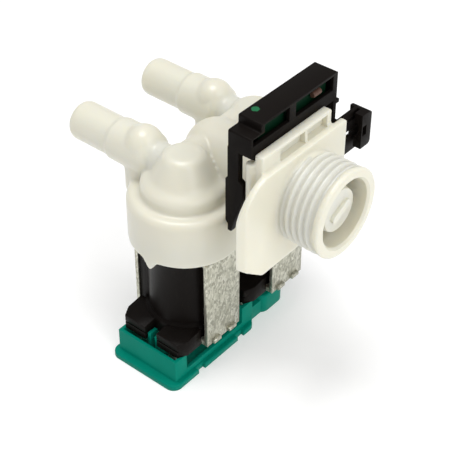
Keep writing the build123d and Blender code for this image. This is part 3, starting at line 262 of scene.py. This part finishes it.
def sensor_case_plastic():
    """Black ABS of the sensor housing: finely textured, with an inspector's dot of green paint."""
    colours = bpy.context.scene.valve_colours
    material, tree, shader, place = new_finish(
        "sensor_case_plastic", IOR=1.53, Specular_IOR_Level=0.05)
    plastic = tint(tree, shader, place, 8, 4.0, colours.sensor_black, "161210")
    dot = (19.4 * MM, -8.9 * MM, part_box("sensor_housing")[1].z)
    dot_reach, raggedness = 1.35 * MM, 0.5 * MM
    away = add(tree, "ShaderNodeVectorMath", {0: place, 1: dot}, operation="DISTANCE")
    brush = add(tree, "ShaderNodeTexNoise", {"Vector": place, "Scale": per_mm(0.8)})
    ragged = add(tree, "ShaderNodeMath", {
        0: brush.outputs["Fac"], 1: raggedness, 2: away.outputs["Value"],
    }, operation="MULTIPLY_ADD")
    paint = add(tree, "ShaderNodeMath", {0: ragged.outputs[0], 1: dot_reach}, operation="LESS_THAN")
    dotted = add(tree, "ShaderNodeMixRGB", {
        "Fac": paint.outputs[0], "Color1": plastic.outputs[0], "Color2": linear("256B45")})
    tree.links.new(dotted.outputs[0], shader.inputs["Base Color"])
    grain(tree, shader, place, 0.35, 4.0, (0.36, 0.55), strength=0.2, depth=0.06)
    return material


def galvanised_sheet():
    """Hot-dip galvanised strip: zinc crystals of differing brightness, drawn out along it."""
    colours = bpy.context.scene.valve_colours
    material, tree, shader, place = new_finish("galvanised_sheet", Metallic=0.85)
    flow = add(tree, "ShaderNodeTexNoise", {"Vector": place, "Scale": per_mm(2.5), "Detail": 3.0})
    drift = add(tree, "ShaderNodeVectorMath", {
        0: flow.outputs["Color"], 1: (2.2 * MM,) * 3}, operation="MULTIPLY")
    warped = add(tree, "ShaderNodeVectorMath", {0: place, 1: drift.outputs[0]}, operation="ADD")
    stretched = add(tree, "ShaderNodeVectorMath", {
        0: warped.outputs[0], 1: (1.0, 1.0, 0.45)}, operation="MULTIPLY")
    crystals = add(tree, "ShaderNodeTexVoronoi", {
        "Vector": stretched.outputs[0], "Scale": per_mm(0.55)}, feature="F1")
    level = add(tree, "ShaderNodeRGBToBW", {"Color": crystals.outputs["Color"]})
    spangle = add(tree, "ShaderNodeValToRGB", {"Fac": level.outputs[0]})
    dull, bright = spangle.color_ramp.elements
    dull.position = 0.2
    dull.color = linear("9F9E90")
    bright.position = 0.85
    bright.color = linear("D4D3C5")
    spangle.color_ramp.elements.new(0.5).color = linear(colours.zinc)
    tree.links.new(spangle.outputs[0], shader.inputs["Base Color"])
    rough = add(tree, "ShaderNodeMapRange", {
        "Value": level.outputs[0], "To Min": 0.5, "To Max": 0.28})
    tree.links.new(rough.outputs[0], shader.inputs["Roughness"])
    bump = add(tree, "ShaderNodeBump", {
        "Height": level.outputs[0], "Strength": 0.12, "Distance": 0.04 * MM})
    tree.links.new(bump.outputs[0], shader.inputs["Normal"])
    return material


def plain_finish(name, colour, roughness, metallic=0.0, grain_mm=0.6, spread=0.08, **surface):
    """A small or hidden piece's finish: one colour that varies a little, with a fine grain."""
    material, tree, shader, place = new_finish(name, Metallic=metallic, **surface)
    noise = add(tree, "ShaderNodeTexNoise", {
        "Vector": place, "Scale": per_mm(grain_mm), "Detail": 3.0})
    tone = add(tree, "ShaderNodeMapRange", {
        "Value": noise.outputs["Fac"], "To Min": 1 - spread, "To Max": 1 + spread})
    varied = add(tree, "ShaderNodeVectorMath", {
        0: linear(colour)[:3], 1: tone.outputs[0]}, operation="MULTIPLY")
    tree.links.new(varied.outputs[0], shader.inputs["Base Color"])
    rough = add(tree, "ShaderNodeMapRange", {
        "Value": noise.outputs["Fac"], "To Min": roughness * 0.8, "To Max": roughness * 1.2})
    tree.links.new(rough.outputs[0], shader.inputs["Roughness"])
    return material


@functools.cache
def finishes():
    """Every finish by the material slot that it stands for, made once."""
    return {
        "white_polyamide": moulded_polyamide(),
        "green_plastic": green_polyester(),
        "black_coil_plastic": coil_overmould(),
        "black_plastic": sensor_case_plastic(),
        "galvanised_steel": galvanised_sheet(),
        # Nylon mesh, woven: pale and matt
        "polyamide_mesh": plain_finish("woven_polyamide_mesh", "D9D8CF", 0.6),
        # Nitrile rubber, moulded: a soft grey-black
        "black_rubber": plain_finish("nitrile_rubber", "1B1B1B", 0.7),
        # Ferrite, pressed and sintered: dark grey and chalky
        "ferrite_magnet": plain_finish("sintered_ferrite", "2A2A2C", 0.6),
        # Stainless steel, ground: a fine bright sheen
        "stainless_steel": plain_finish("ground_stainless", "B5B5B2", 0.3, metallic=1.0),
        # Glass-fibre laminate under solder mask: its green painted nearly black, as painted shade
        # of the dim window that it sits behind
        "circuit_laminate": plain_finish(
            "laminate_in_painted_shade", "052616", 0.5, Specular_IOR_Level=0.1),
        # Lacquer, dipped over the resistor: brown, with a soft gloss
        "component_body": plain_finish(
            "dipped_resistor_lacquer", "5A4036", 0.4, Specular_IOR_Level=0.3),
        # Soft glass, drawn and fused: clear, with a green cast
        "clear_glass": plain_finish("reed_glass", "C8D8D0", 0.08, Transmission_Weight=0.8),
        # Copper wire, tinned: bright silver
        "tinned_wire": plain_finish("tinned_copper_wire", "C9C9C4", 0.25, metallic=1.0),
        # Unfilled PBT of the bobbins, moulded: cream and satin
        "bobbin_plastic": plain_finish("bobbin_polyester", "C9C2AE", 0.45),
        # Copper under clear enamel: warm and glossy
        "copper_wire": plain_finish("enamelled_copper", "B5622E", 0.3, metallic=0.9, grain_mm=0.3),
        # Soft iron, turned and annealed: dull grey
        "iron_sleeve": plain_finish("soft_iron", "8E8E8C", 0.4, metallic=1.0),
        # Polyamide of the guide tubes, moulded: off-white and smooth
        "guide_plastic": plain_finish("guide_tube_polyamide", "D8D6CB", 0.4),
        # Brass, stamped and tinned: warm silver
        "tinned_terminal": plain_finish("tinned_brass", "C4C1B6", 0.3, metallic=1.0),
    }


def deselect():
    """Leaves nothing selected, so that the next operator acts on its own piece alone."""
    if bpy.context.object and bpy.context.object.mode != "OBJECT":
        bpy.ops.object.mode_set(mode="OBJECT")
    bpy.ops.object.select_all(action="DESELECT")


def pick(piece):
    """Makes a piece the only selected and active one."""
    deselect()
    piece.select_set(True)
    bpy.context.view_layer.objects.active = piece


def apply_modifier(piece, kind, **settings):
    """Adds a modifier with its settings and applies it at once."""
    pick(piece)
    modifier = piece.modifiers.new(kind.lower(), kind)
    for key, value in settings.items():
        setattr(modifier, key, value)
    bpy.ops.object.modifier_apply(modifier=modifier.name)


def piece_from(name, vertices, edges=(), faces=()):
    """A new mesh piece from points in millimetres."""
    mesh = bpy.data.meshes.new(name)
    mesh.from_pydata([Vector(point) * MM for point in vertices], edges, faces)
    piece = bpy.data.objects.new(name, mesh)
    bpy.context.scene.collection.objects.link(piece)
    return piece


def turned(name, profile, centre, direction, steps=96):
    """A closed solid of revolution. The profile holds (distance along the axis, radius) in mm."""
    along = Vector(direction)
    across = Vector((0, 0, 1)) if abs(along.z) < 0.5 else Vector((1, 0, 0))
    points = [Vector(centre) + along * place + across * radius for place, radius in profile]
    edges = [(i, i + 1) for i in range(len(points) - 1)]
    piece = piece_from(name, points, edges)
    pick(piece)
    bpy.ops.object.mode_set(mode="EDIT")
    bpy.ops.mesh.select_all(action="SELECT")
    bpy.ops.mesh.spin(steps=steps, angle=math.tau, center=Vector(centre) * MM, axis=along)
    bpy.ops.mesh.select_all(action="SELECT")
    bpy.ops.mesh.remove_doubles(threshold=1e-6)
    bpy.ops.mesh.normals_make_consistent(inside=False)
    bpy.ops.object.mode_set(mode="OBJECT")
    return piece


def pressed(name, outline, axis, start, thickness):
    """A slab of one outline. The outline lies across the axis X, Y or Z, in millimetres."""
    axis_index = "XYZ".index(axis)
    points = []
    for first, second in outline:
        point = [first, second]
        point.insert(axis_index, start)
        points.append(point)
    piece = piece_from(name, points, faces=[range(len(points))])
    pick(piece)
    bpy.ops.object.mode_set(mode="EDIT")
    bpy.ops.mesh.select_all(action="SELECT")
    move = [0, 0, 0]
    move[axis_index] = thickness * MM
    bpy.ops.mesh.extrude_region_move(TRANSFORM_OT_translate={"value": move})
    bpy.ops.mesh.select_all(action="SELECT")
    bpy.ops.mesh.normals_make_consistent(inside=False)
    bpy.ops.object.mode_set(mode="OBJECT")
    return piece


def block(name, low, high):
    """A box between two corners, in millimetres."""
    deselect()
    centre = (Vector(low) + Vector(high)) / 2 * MM
    extent = (Vector(high) - Vector(low)) * MM
    bpy.ops.mesh.primitive_cube_add(size=1, location=centre, scale=extent)
    piece = bpy.context.object
    piece.name = name
    bpy.ops.object.transform_apply(location=True, rotation=True, scale=True)
    return piece


def arc(centre, radius, start, stop, steps=8):
    """Points along an arc, angles in degrees from the first axis towards the second."""
    return [
        (
            centre[0] + radius * math.cos(math.radians(start + (stop - start) * i / steps)),
            centre[1] + radius * math.sin(math.radians(start + (stop - start) * i / steps)),
        )
        for i in range(steps + 1)
    ]


def rounded(corners, steps=8):
    """Points of an outline, in millimetres. A corner is (first, second, radius of its rounding)."""
    points = []
    befores = corners[-1:] + corners[:-1]
    afters = corners[1:] + corners[:1]
    for before, corner, after in zip(befores, corners, afters):
        here = Vector(corner[:2])
        radius = corner[2]
        if not radius:
            points.append(tuple(here))
            continue
        back = (Vector(before[:2]) - here).normalized()
        ahead = (Vector(after[:2]) - here).normalized()
        half = back.angle(ahead) / 2
        centre = here + (back + ahead).normalized() * radius / math.sin(half)
        first = here + back * radius / math.tan(half) - centre
        last = here + ahead * radius / math.tan(half) - centre
        start = math.degrees(math.atan2(first.y, first.x))
        turn = math.degrees(math.atan2(last.y, last.x)) - start
        turn = (turn + 180) % 360 - 180
        points += arc(centre, radius, start, start + turn, steps)
    return points


def bowed(start, stop, bulge, steps=12):
    """Points of a shallow bow from start to stop, which stands out to its left by bulge."""
    way = Vector(stop) - Vector(start)
    left = Vector((-way.y, way.x)).normalized()
    return [
        tuple(Vector(start) + way * i / steps + left * bulge * 4 * i / steps * (1 - i / steps))
        for i in range(steps + 1)
    ]


def joined(name, pieces):
    """Joins several pieces into one."""
    deselect()
    for piece in pieces:
        piece.select_set(True)
    bpy.context.view_layer.objects.active = pieces[0]
    bpy.ops.object.join()
    pieces[0].name = name
    return pieces[0]


def cut_away(piece, cutter):
    """Cuts one piece's volume out of another and deletes the cutter."""
    apply_modifier(piece, "BOOLEAN", operation="DIFFERENCE", object=cutter, solver="EXACT")
    bpy.data.objects.remove(cutter)


def settle(piece, body, slot, *nodes, smooth_angle=35):
    """Gives a finished piece its shading, finish and body, and hides the nodes that it stands for.
    """
    pick(piece)
    bpy.ops.object.shade_smooth_by_angle(angle=math.radians(smooth_angle))
    piece.data.materials.clear()
    piece.data.materials.append(finishes()[slot])
    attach(piece, body)
    if nodes:
        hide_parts(*nodes)


def bevelled_copy(node, name, width, segments=2, angle=30):
    """A copy of a node with whole flat faces and with edges rounded by width, in millimetres."""
    piece = bpy.data.objects.new(name, frame["nodes"][node].data.copy())
    bpy.context.scene.collection.objects.link(piece)
    pick(piece)
    bpy.ops.object.mode_set(mode="EDIT")
    bpy.ops.mesh.select_all(action="SELECT")
    bpy.ops.mesh.remove_doubles(threshold=2e-6)
    bpy.ops.mesh.customdata_custom_splitnormals_clear()
    bpy.ops.mesh.dissolve_limited(angle_limit=math.radians(1.0))
    bpy.ops.object.mode_set(mode="OBJECT")
    apply_modifier(
        piece, "BEVEL", width=width * MM, segments=segments, limit_method="ANGLE",
        angle_limit=math.radians(angle), use_clamp_overlap=True, harden_normals=False,
    )
    return piece


class VALVE_OT_mould_body(bpy.types.Operator):
    """Model the white body: skirts, domes, elbows, spigots, chamber, plate and wall in one"""

    bl_idname = "valve.mould_body"
    bl_label = "Mould the body"

    def execute(self, context):
        size = context.scene.valve_sizes
        solids = []
        cutters = []
        for axis_y in VALVE_AXES:
            solids += valve_unit(size, axis_y)
            cutters += [gallery(size, axis_y), spigot_bore(size, axis_y)]
        solids += chamber_and_inlet(size)
        solids += plate_and_wall(size)
        cutters.append(inlet_bore(size))
        cutters += wall_pockets()
        body = joined("valve_body_moulding", solids)
        apply_modifier(body, "REMESH", mode="VOXEL", voxel_size=size.voxel * MM, adaptivity=0.0)
        apply_modifier(body, "SMOOTH", factor=0.5, iterations=size.blend_passes)
        for cutter in cutters:
            cut_away(body, cutter)
        apply_modifier(body, "DECIMATE", decimate_type="COLLAPSE", ratio=0.85)
        settle(body, "valve", "white_polyamide", "valve_body", smooth_angle=40)
        return {"FINISHED"}


def valve_unit(size, axis_y):
    """The skirt with its dome, the elbow and the spigot over one coil, as overlapping solids."""
    foot_radius, brow_radius, crown_radius = 12.4, 9.4, 5.4
    foot_top = size.skirt_top + 3.6
    brow = size.skirt_top + 5.6
    dome = rounded([
        (size.skirt_bottom, 0, 0), (size.skirt_bottom, size.skirt_radius, 0.3),
        (size.skirt_top, size.skirt_radius, 2.0), (size.skirt_top, foot_radius, 0.8),
        (foot_top, foot_radius, 2.4), (brow, brow_radius, 4.0),
        (size.dome_top, crown_radius, 3.2), (size.dome_top, 0, 0),
    ])
    elbow_foot, elbow_cone, elbow_crown = 45.5, 4.5, 64.5
    elbow = [
        (elbow_foot, 0), (elbow_foot, size.elbow_radius - elbow_cone),
        (elbow_foot + elbow_cone, size.elbow_radius),
        *arc((elbow_crown, 0), size.elbow_radius, 90, 0, 16),
    ]
    collar_start, collar_end, collar_radius = -24.6, -11.6, 6.4
    tail_start, tail_end, tail_radius = -9.6, -3.0, 4.8
    spigot = rounded([
        (SPIGOT_TIP, 0, 0), (SPIGOT_TIP, size.spigot_radius, 2.0),
        (collar_start, size.spigot_radius, 0.3), (collar_start + 0.6, collar_radius, 0.3),
        (collar_end, collar_radius, 2.6), (tail_start, tail_radius, 1.2),
        (tail_end, tail_radius, 0), (tail_end, 0, 0),
    ])
    return [
        turned("skirt_and_dome", dome, (0, axis_y, 0), (0, 0, 1)),
        turned("elbow", elbow, (-size.elbow_reach, axis_y, 0), (0, 0, 1)),
        turned("spigot", spigot, (0, axis_y, size.outlet_height), (1, 0, 0)),
    ]


def gallery(size, axis_y):
    """The hollow under one skirt: diaphragm's room, ring-shaped gallery and the seat's bore."""
    bottom = size.skirt_bottom - 1
    ledge, ledge_radius, room_radius = 47.0, 10.6, 14.8
    roof, roof_radius, top_radius = 57.2, 7.6, 10.0
    seat, seat_radius, seat_bore = 48.7, 5.6, 4.0
    bore_top = 66.5
    profile = [
        (bottom, 0), (bottom, room_radius), (ledge, room_radius), (ledge, ledge_radius),
        (size.skirt_top, top_radius), (roof, roof_radius), (roof, seat_radius),
        (seat, seat_radius), (seat, seat_bore), (bore_top, seat_bore), (bore_top, 0),
    ]
    return turned("gallery", profile, (0, axis_y, 0), (0, 0, 1), 64)


def spigot_bore(size, axis_y):
    """The hollow of one spigot, from just outside its tip to over the seat, with an eased mouth."""
    radius = size.spigot_bore
    outside, eased, depth = -1, 0.3, 38
    profile = [(outside, 0), (outside, radius + 0.4), (eased, radius), (depth, radius), (depth, 0)]
    return turned("spigot_bore", profile, (SPIGOT_TIP, axis_y, size.outlet_height), (1, 0, 0), 48)


def chamber_and_inlet(size):
    """The flow chamber with its rounded end, the duct between the domes, and the inlet's core."""
    chamber_end, end_rounding = -10.3, 9.2
    inlet_start = 27.9
    chamber = rounded([
        (chamber_end, 0, 0), (chamber_end, size.chamber_radius, end_rounding),
        (inlet_start, size.chamber_radius, 0), (inlet_start, 0, 0),
    ], 16)
    root = size.thread_radius - size.thread_depth
    rim = INLET_MOUTH - size.rim_length
    inlet = rounded([
        (inlet_start, 0, 0), (inlet_start, root, 0), (rim - 0.4, root, 0),
        (rim, size.thread_radius, 0.2), (INLET_MOUTH, size.thread_radius, 0.35),
        (INLET_MOUTH, 0, 0),
    ])
    duct_radius, duct_x = 5.8, -1.6
    front, rear = VALVE_AXES
    duct = [(front, 0), (front, duct_radius), (rear, duct_radius), (rear, 0)]
    return [
        turned("flow_chamber", chamber, (0, 0, CHAMBER_AXIS), (1, 0, 0)),
        turned("inlet_core", inlet, (0, 0, CHAMBER_AXIS), (1, 0, 0), 128),
        turned("cross_duct", duct, (duct_x, 0, size.outlet_height), (0, 1, 0)),
    ]


def inlet_bore(size):
    """The hollow of the inlet down to its floor, with a chamfer in its mouth."""
    floor, outside = 28.0, INLET_MOUTH + 1
    radius, mouth_radius = size.inlet_bore, size.inlet_bore + 0.9
    profile = [
        (floor, 0), (floor, radius), (INLET_MOUTH - 0.7, radius), (INLET_MOUTH + 0.3, mouth_radius),
        (outside, mouth_radius), (outside, 0),
    ]
    return turned("inlet_bore", profile, (0, 0, CHAMBER_AXIS), (1, 0, 0), 128)


def plate_and_wall(size):
    """The mounting plate with its bevelled end, its back wall, the column and the skirt's tab."""
    face = size.plate_face
    back = face - size.plate_thickness
    top, bottom, rear, front = 75.2, 43.2, 17.85, -27.1
    outline = bowed((front, 66.2), (-17.2, top), 1.5)[:-1] + rounded([
        (-17.2, top, 0), (rear, top, 0.8), (rear, 50.0, 0.8), (12.0, bottom, 0.8),
        (-18.0, bottom, 0.8), (front, 50.3, 0),
    ])
    plate = pressed("mounting_plate", outline, "X", back, size.plate_thickness)
    bevel = pressed(
        "plate_bevel",
        [(back + 0.2, -27.2), (face + 0.1, -24.9), (face + 0.1, -28.5), (back + 0.2, -28.5)],
        "Z", 40, 40)
    cut_away(plate, bevel)
    wall = block("back_wall", (25.1, -16.2, 51.0), (back + 0.1, 13.4, 79.9))
    radius, foot, head = 1.5, 62.0, 77.0
    column = turned("column", [(foot, 0), (foot, radius), (head, radius), (head, 0)],
                    (24.0, -15.9, 0), (0, 0, 1), 32)
    tip_x, half, drop = 0.65, 2.5, 3.6
    edge = size.skirt_bottom
    tab = pressed(
        "skirt_tab",
        rounded([
            (tip_x - half, edge + 1, 0), (tip_x + half, edge + 1, 0), (tip_x + half, edge, 0),
            (tip_x, edge - drop, 0.7), (tip_x - half, edge, 0),
        ]),
        "Y", VALVE_AXES[0] - size.skirt_radius + 0.1, 1.4)
    return [plate, wall, column, tab]


def wall_pockets():
    """The two shallow pockets over the plate, with the wall's rib left standing between them."""
    low, high = 75.35, 79.1
    back, front = 26.2, 28.2
    return [
        block("wall_pocket", (back, start, low), (front, stop, high))
        for start, stop in ((-9.0, 1.5), (2.5, 11.2))
    ]


class VALVE_OT_cut_thread(bpy.types.Operator):
    """Wind the pipe thread round the inlet"""

    bl_idname = "valve.cut_thread"
    bl_label = "Cut the inlet thread"

    def execute(self, context):
        size = context.scene.valve_sizes
        root = size.thread_radius - size.thread_depth
        half = size.thread_pitch / 2
        start = size.plate_face + half * 0.7
        turns = 5.25
        steps = 12
        overlap = 1.02  # each turn's flanks meet the next turn's inside the core
        sunk = 0.05
        profile = [
            (half * (2 * i / steps - 1) * overlap,
             root - sunk + size.thread_depth * (0.5 - 0.5 * math.cos(math.tau * i / steps)))
            for i in range(steps + 1)
        ]
        profile.append((0, root - 0.5))
        points = [(start + along, 0, radius) for along, radius in profile]
        edges = [(i, (i + 1) % len(points)) for i in range(len(points))]
        ridge = piece_from("inlet_thread", points, edges)
        apply_modifier(
            ridge, "SCREW", axis="X", angle=math.tau * turns,
            screw_offset=size.thread_pitch * turns * MM,
            iterations=1, steps=504, render_steps=504, use_normal_calculate=True)
        pick(ridge)
        bpy.ops.object.mode_set(mode="EDIT")
        bpy.ops.mesh.select_all(action="SELECT")
        bpy.ops.mesh.remove_doubles(threshold=1e-6)
        bpy.ops.mesh.fill_holes(sides=0)
        bpy.ops.mesh.select_all(action="SELECT")
        bpy.ops.mesh.normals_make_consistent(inside=False)
        bpy.ops.transform.translate(value=(0, 0, CHAMBER_AXIS * MM))
        bpy.ops.object.mode_set(mode="OBJECT")
        run_out(ridge, start, start + turns * size.thread_pitch, root)
        settle(ridge, "valve", "white_polyamide")
        return {"FINISHED"}


def run_out(ridge, first, last, root):
    """Lowers the ends of the thread into its root, and its crests into the mouth's chamfer."""
    fade = 1.2
    chamfer = INLET_MOUTH + 12.4  # distance along plus radius, on a cone of 45 degrees
    for vertex in ridge.data.vertices:
        along = vertex.co.x / MM
        radius = math.hypot(vertex.co.y, vertex.co.z - CHAMBER_AXIS * MM) / MM
        if radius <= root:
            continue
        ease = min(1.0, max(0.0, (along - first) / fade), max(0.0, (last - along) / fade))
        factor = min(root + (radius - root) * ease, chamfer - along) / radius
        vertex.co.y *= factor
        vertex.co.z = CHAMBER_AXIS * MM + (vertex.co.z - CHAMBER_AXIS * MM) * factor


class VALVE_OT_fit_strainer(bpy.types.Operator):
    """Fit the strainer in the mouth of the inlet"""

    bl_idname = "valve.fit_strainer"
    bl_label = "Fit the strainer"

    def execute(self, context):
        strainer = bevelled_copy("inlet_strainer", "strainer_cup", 0.15)
        settle(strainer, "valve", "white_polyamide", "inlet_strainer")
        return {"FINISHED"}


class VALVE_OT_mould_sensor(bpy.types.Operator):
    """Model the black sensor housing with its rounded edges"""

    bl_idname = "valve.mould_sensor"
    bl_label = "Mould the sensor housing"

    def execute(self, context):
        housing = bevelled_copy("sensor_housing", "sensor_case", 0.18)
        # Thinned from behind, the arms and the clip's slot let the light through from the side
        arm_back, arm_root = 25.4, 19.4
        slot_back, slot_front, slot_low, slot_high = 27.0, 28.9, 64.6, 69.0
        clip_start, clip_end = 24.0, 27.6
        cut_away(housing, block(
            "behind_arms", (23.0, arm_root, 58.0), (arm_back, clip_end, 73.0)))
        cut_away(housing, block(
            "behind_clip", (slot_back, clip_start, slot_low), (slot_front, clip_end, slot_high)))
        settle(housing, "valve", "black_plastic", "sensor_housing")
        return {"FINISHED"}


class VALVE_OT_mould_coils(bpy.types.Operator):
    """Model the black overmouldings of the two coils"""

    bl_idname = "valve.mould_coils"
    bl_label = "Mould the coils"

    def execute(self, context):
        for name in VALVES:
            node = f"coil_casing_{name}"
            casing = bevelled_copy(node, f"coil_overmould_{name}", 0.2)
            settle(casing, "valve", "black_coil_plastic", node)
        return {"FINISHED"}


class VALVE_OT_fold_yokes(bpy.types.Operator):
    """Model the galvanised yokes and their closing plates"""

    bl_idname = "valve.fold_yokes"
    bl_label = "Fold the yokes"

    def execute(self, context):
        for name in VALVES:
            for kind, label in (("yoke", "yoke_strip"), ("yoke_plate", "closing_plate")):
                node = f"{kind}_{name}"
                strip = bevelled_copy(node, f"{label}_{name}", 0.12)
                settle(strip, "valve", "galvanised_steel", node)
        return {"FINISHED"}


class VALVE_OT_wind_springs(bpy.types.Operator):
    """Fit the springs on their seats, at their packed length; in the valve they shorten as the
    plungers are pulled down
    """

    bl_idname = "valve.wind_springs"
    bl_label = "Wind the springs"

    def execute(self, context):
        for name in VALVES:
            node = f"plunger_spring_{name}"
            spring = bevelled_copy(node, f"coiled_spring_{name}", 0.02, segments=1, angle=60)
            settle(spring, "valve", "stainless_steel", node, smooth_angle=50)
            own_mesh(spring)
        return {"FINISHED"}


class VALVE_OT_mould_base(bpy.types.Operator):
    """Model the green terminal base"""

    bl_idname = "valve.mould_base"
    bl_label = "Mould the terminal base"

    def execute(self, context):
        base = bevelled_copy("terminal_base", "socket_base", 0.18)
        settle(base, "valve", "green_plastic", "terminal_base")
        return {"FINISHED"}


class VALVE_OT_finish_inner(bpy.types.Operator):
    """Give every piece that stays as packed its own finish"""

    bl_idname = "valve.finish_inner"
    bl_label = "Finish the inner pieces"

    def execute(self, context):
        for node, piece in frame["nodes"].items():
            if piece.hide_render:
                continue
            piece.data.materials.clear()
            piece.data.materials.append(finishes()[SLOT_OF[node]])
        return {"FINISHED"}


def light_table(colours, studio):
    """Opal acrylic of a light table: matt, and lit from below, so that shadows on it stay pale."""
    material, _, shader, _ = new_finish("opal_light_table", Roughness=0.9, Specular_IOR_Level=0.1)
    shader.inputs["Base Color"].default_value = linear(colours.floor)
    shader.inputs["Emission Color"].default_value = linear(colours.floor)
    shader.inputs["Emission Strength"].default_value = studio.table
    return material


class VALVE_OT_set_studio(bpy.types.Operator):
    """Set the floor, the lights and the camera"""

    bl_idname = "valve.set_studio"
    bl_label = "Set the studio"

    def execute(self, context):
        studio = context.scene.valve_studio
        colours = context.scene.valve_colours
        deselect()
        bpy.ops.mesh.primitive_plane_add(size=4.0, location=(0, 0, 0))
        floor = context.object
        floor.name = "studio_floor"
        floor.data.materials.append(light_table(colours, studio))

        world = bpy.data.worlds.new("studio_room")
        world.use_nodes = True
        world.node_tree.nodes["Background"].inputs["Color"].default_value = (1, 1, 1, 1)
        world.node_tree.nodes["Background"].inputs["Strength"].default_value = studio.room
        context.scene.world = world

        target = Vector((0.0, 0.0, 0.045))  # the middle of the valve
        lamps = (
            ("key_light", (-0.10, -0.04, 0.84), 0.35, studio.key_power),
            ("side_light", (0.58, -0.02, 0.48), 0.60, studio.side_power),
        )
        for name, place, width, power in lamps:
            lamp = bpy.data.lights.new(name, "AREA")
            lamp.shape = "SQUARE"
            lamp.size = width
            lamp.energy = power
            holder = bpy.data.objects.new(name, lamp)
            holder.location = place
            holder.rotation_euler = (target - Vector(place)).to_track_quat("-Z", "Y").to_euler()
            context.scene.collection.objects.link(holder)

        camera = bpy.data.cameras.new("photo_camera")
        camera.lens = studio.lens
        camera.sensor_width = 36.0
        camera.clip_start = 0.01
        holder = bpy.data.objects.new("photo_camera", camera)
        holder.location = studio.camera_place
        forward = Vector((
            -math.sin(studio.azimuth) * math.cos(studio.elevation),
            math.cos(studio.azimuth) * math.cos(studio.elevation),
            -math.sin(studio.elevation),
        ))
        holder.rotation_euler = forward.to_track_quat("-Z", "Y").to_euler()
        context.scene.collection.objects.link(holder)
        context.scene.camera = holder
        context.scene.view_settings.view_transform = "Standard"
        return {"FINISHED"}


OPERATORS = (
    VALVE_OT_mould_body,
    VALVE_OT_cut_thread,
    VALVE_OT_fit_strainer,
    VALVE_OT_mould_sensor,
    VALVE_OT_mould_coils,
    VALVE_OT_fold_yokes,
    VALVE_OT_mould_base,
    VALVE_OT_wind_springs,
    VALVE_OT_finish_inner,
    VALVE_OT_set_studio,
)


class VALVE_PT_panel(bpy.types.Panel):
    """Lists the valve's operators and settings."""

    bl_idname = "VALVE_PT_panel"
    bl_label = "Inlet Valve"
    bl_space_type = "VIEW_3D"
    bl_region_type = "UI"
    bl_category = "Inlet Valve"

    def draw(self, context):
        for operator in OPERATORS:
            self.layout.operator(operator.bl_idname)
        scene = context.scene
        for group in (scene.valve_sizes, scene.valve_colours, scene.valve_studio):
            for key in group.__annotations__:
                self.layout.prop(group, key)


CLASSES = (ValveSizes, ValveColours, StudioSettings, *OPERATORS, VALVE_PT_panel)


def register():
    """Registers the classes and hangs the settings on the scene."""
    for cls in CLASSES:
        bpy.utils.register_class(cls)
    bpy.types.Scene.valve_sizes = bpy.props.PointerProperty(type=ValveSizes)
    bpy.types.Scene.valve_colours = bpy.props.PointerProperty(type=ValveColours)
    bpy.types.Scene.valve_studio = bpy.props.PointerProperty(type=StudioSettings)


def unregister():
    """Takes the settings off the scene and the classes out again."""
    del bpy.types.Scene.valve_sizes
    del bpy.types.Scene.valve_colours
    del bpy.types.Scene.valve_studio
    for cls in reversed(CLASSES):
        bpy.utils.unregister_class(cls)


def main():
    """Builds every piece in order."""
    register()
    for operator in OPERATORS:
        group, name = operator.bl_idname.split(".")
        getattr(getattr(bpy.ops, group), name)()


if __name__ == "__main__":
    main()
